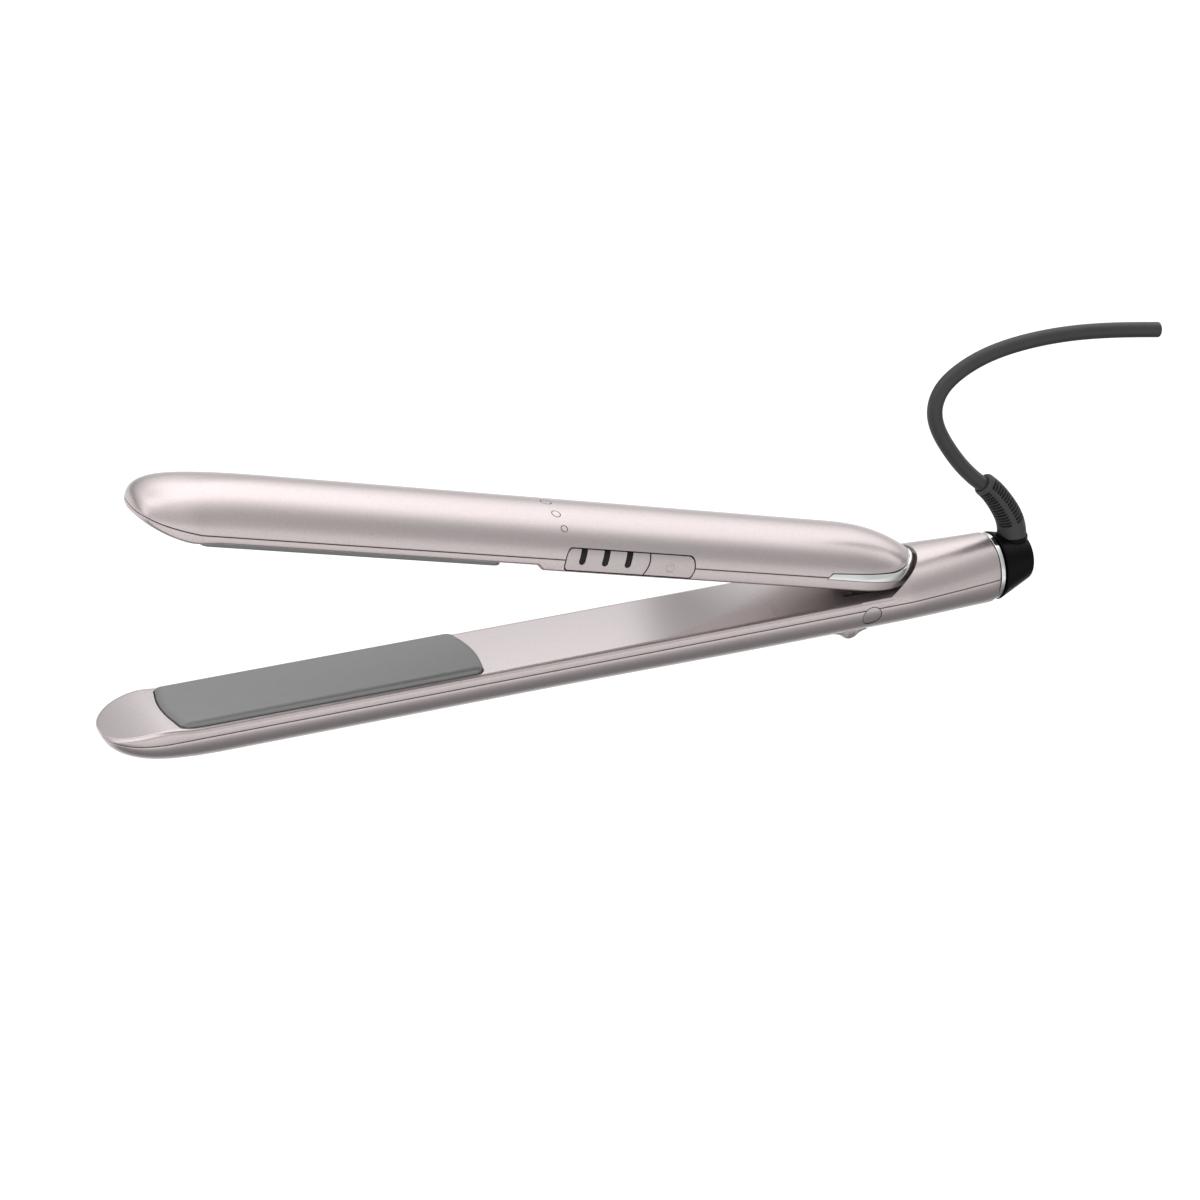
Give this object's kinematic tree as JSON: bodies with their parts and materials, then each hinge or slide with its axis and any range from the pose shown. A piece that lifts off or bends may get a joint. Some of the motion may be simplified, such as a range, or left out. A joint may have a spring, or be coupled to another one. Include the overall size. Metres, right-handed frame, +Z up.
{
  "type": "flat iron",
  "caption": "Slim hair flat iron: two hinged rose-metallic arms with floating grey plates, side keys, chrome trim, thumb lock and a corded swivel tail.",
  "frame": {"origin": "middle of the flat land under the lower arm, on the symmetry plane of the arms", "axes": "+X towards the cord end along the lower arm, +Z up and square to the lower plate, -Y is the side with the keys"},
  "size_m": [0.3364, 0.0304, 0.0867],
  "materials": {
    "shell_paint": "satin metallic paint, pale rose champagne",
    "cover_paint": "smoother, glossier metallic paint of the same colour",
    "key_paint": "satin metallic paint, slightly lighter",
    "plate_coating": "satin grey coated plate",
    "chrome_trim": "mirror chrome plating",
    "black_plastic": "satin black moulded plastic",
    "window_plastic": "dark gloss smoked plastic",
    "boot_rubber": "matt dark grey rubber",
    "cord_sheath": "satin black PVC sheath",
    "core_brown": "brown core insulation",
    "core_blue": "blue core insulation",
    "steel": "zinc plated steel",
    "spring_steel": "spring steel",
    "carrier_plastic": "heat resistant glass filled plastic",
    "heater_ceramic": "white ceramic",
    "circuit_board": "green solder mask",
    "led_plastic": "clear epoxy LED body"
  },
  "bodies": {
    "lower_arm": {"lower_outer_shell": "shell_paint", "lower_inner_cover": "cover_paint", "hinge_bracket": "steel", "hinge_pin": "steel", "hinge_torsion_spring": "spring_steel", "pivot_cap_near": "shell_paint", "pivot_cap_far": "shell_paint", "power_board": "circuit_board", "filter_capacitor": "black_plastic", "mains_lead": "cord_sheath", "tail_chrome_ring": "chrome_trim", "swivel_socket": "black_plastic", "lower_plate_carrier": "carrier_plastic", "lower_heater_lead": "cord_sheath", "lower_carrier_screw_front": "steel", "lower_carrier_screw_rear": "steel", "lower_float_spring_front": "spring_steel", "lower_float_spring_rear": "spring_steel"},
    "lower_plate_set": {"lower_plate": "plate_coating", "lower_heater": "heater_ceramic", "lower_heater_clip": "spring_steel", "lower_thermistor": "heater_ceramic"},
    "upper_arm": {"upper_outer_shell": "shell_paint", "upper_inner_cover": "cover_paint", "upper_chrome_trim": "chrome_trim", "hinge_yoke": "steel", "key_holder": "black_plastic", "key_board": "circuit_board", "control_board": "circuit_board", "temperature_switch": "steel", "power_switch": "steel", "indicator_led_low": "led_plastic", "indicator_led_middle": "led_plastic", "indicator_led_high": "led_plastic", "marker_dot_large": "key_paint", "marker_dot_medium": "key_paint", "marker_dot_small": "key_paint", "upper_plate_carrier": "carrier_plastic", "upper_heater_lead": "cord_sheath", "upper_carrier_screw_front": "steel", "upper_carrier_screw_rear": "steel", "upper_float_spring_front": "spring_steel", "upper_float_spring_rear": "spring_steel"},
    "upper_plate_set": {"upper_plate": "plate_coating", "upper_heater": "heater_ceramic", "upper_heater_clip": "spring_steel", "upper_thermistor": "heater_ceramic"},
    "temperature_key": {"temperature_key": "key_paint", "temperature_light_guide": "window_plastic"},
    "power_key": {"power_key": "key_paint"},
    "lock_slider": {"lock_slider": "shell_paint"},
    "cord_swivel": {"swivel_stem": "black_plastic", "swivel_head": "black_plastic", "cord_boot": "boot_rubber", "cord_jacket": "cord_sheath", "cord_core_live": "core_brown", "cord_core_neutral": "core_blue"}
  },
  "joints": [
    {"name": "arm_hinge", "type": "hinge", "parent": "lower_arm", "child": "upper_arm", "pos_m": [0.106, 0, 0.0073], "axis": [0, -1, 0], "range_deg": [0, 13.8], "stiffness_Nm_per_rad": 0.05},
    {"name": "lower_plate_float", "type": "slide", "parent": "lower_arm", "child": "lower_plate_set", "axis": [0, 0, -1], "range_m": [0, 0.0008], "stiffness_N_per_m": 2000, "deforming": ["lower_float_spring_front", "lower_float_spring_rear"]},
    {"name": "upper_plate_float", "type": "slide", "parent": "upper_arm", "child": "upper_plate_set", "axis": [0.2411, 0, 0.9705], "range_m": [0, 0.0008], "stiffness_N_per_m": 2000, "deforming": ["upper_float_spring_front", "upper_float_spring_rear"]},
    {"name": "temperature_key_press", "type": "slide", "parent": "upper_arm", "child": "temperature_key", "axis": [0, 1, 0], "range_m": [0, 0.0005], "stiffness_N_per_m": 800},
    {"name": "power_key_press", "type": "slide", "parent": "upper_arm", "child": "power_key", "axis": [0, 1, 0], "range_m": [0, 0.0005], "stiffness_N_per_m": 800},
    {"name": "lock_slide", "type": "slide", "parent": "lower_arm", "child": "lock_slider", "axis": [-1, 0, 0], "range_m": [0, 0.005]},
    {"name": "cord_swivel_turn", "type": "hinge", "parent": "lower_arm", "child": "cord_swivel", "pos_m": [0.156, 0, 0.0095], "axis": [1, 0, 0], "continuous": true}
  ]
}
